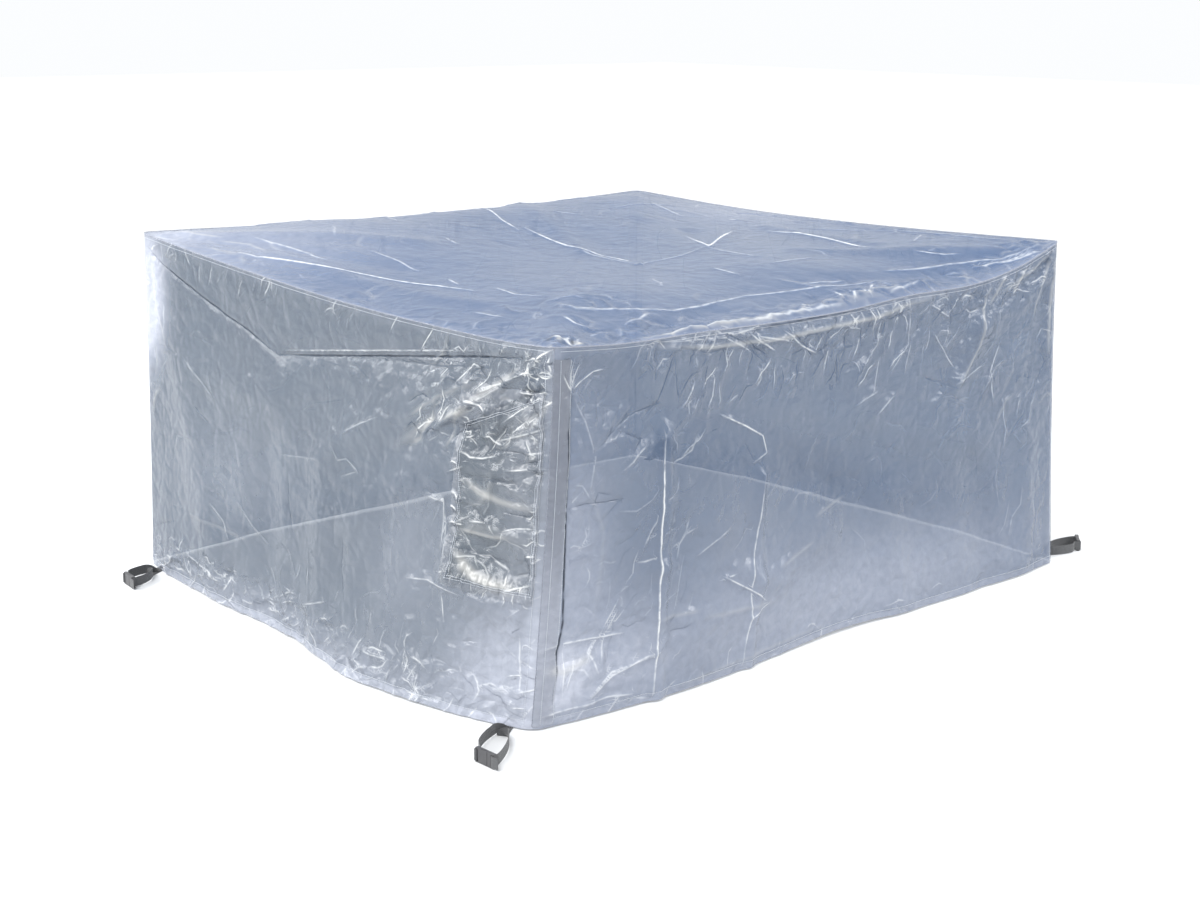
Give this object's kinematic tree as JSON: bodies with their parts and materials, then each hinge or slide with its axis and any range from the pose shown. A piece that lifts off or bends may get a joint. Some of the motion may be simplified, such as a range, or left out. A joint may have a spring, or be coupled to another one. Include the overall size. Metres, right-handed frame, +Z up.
{
  "type": "patio furniture cover",
  "caption": "Rectangular fitted cover of clear wrinkled film: a top that sags between held corners, flared walls down to the ground, a sewn corner patch and buckled webbing straps.",
  "frame": {"origin": "under the middle of the top panel, 0.876 m above the ground that the straps lie on", "axes": "+X along the cover's longer side, away from the wall with the sewn patch, +Z up"},
  "size_m": [2.3271, 1.8235, 0.9301],
  "materials": {
    "film_blue": "clear film, glossy on its creases",
    "film_pale": "clear film, glossy on its creases",
    "webbing": "woven, matte",
    "buckle": "moulded, satin"
  },
  "bodies": {
    "root": {"top_panel": "film_blue", "side_wall_near": "film_blue", "side_wall_far": "film_blue", "end_wall_near": "film_pale", "end_wall_far": "film_pale", "corner_patch": "film_pale", "corner_band": "film_pale", "strap_near_web_socket": "webbing", "strap_near_web_plug": "webbing", "strap_near_socket": "buckle", "strap_near_plug": "buckle", "strap_left_web_socket": "webbing", "strap_left_web_plug": "webbing", "strap_left_socket": "buckle", "strap_left_plug": "buckle", "strap_right_web_socket": "webbing", "strap_right_web_plug": "webbing", "strap_right_socket": "buckle", "strap_right_plug": "buckle", "strap_far_web_socket": "webbing", "strap_far_web_plug": "webbing", "strap_far_socket": "buckle", "strap_far_plug": "buckle"}
  },
  "joints": []
}
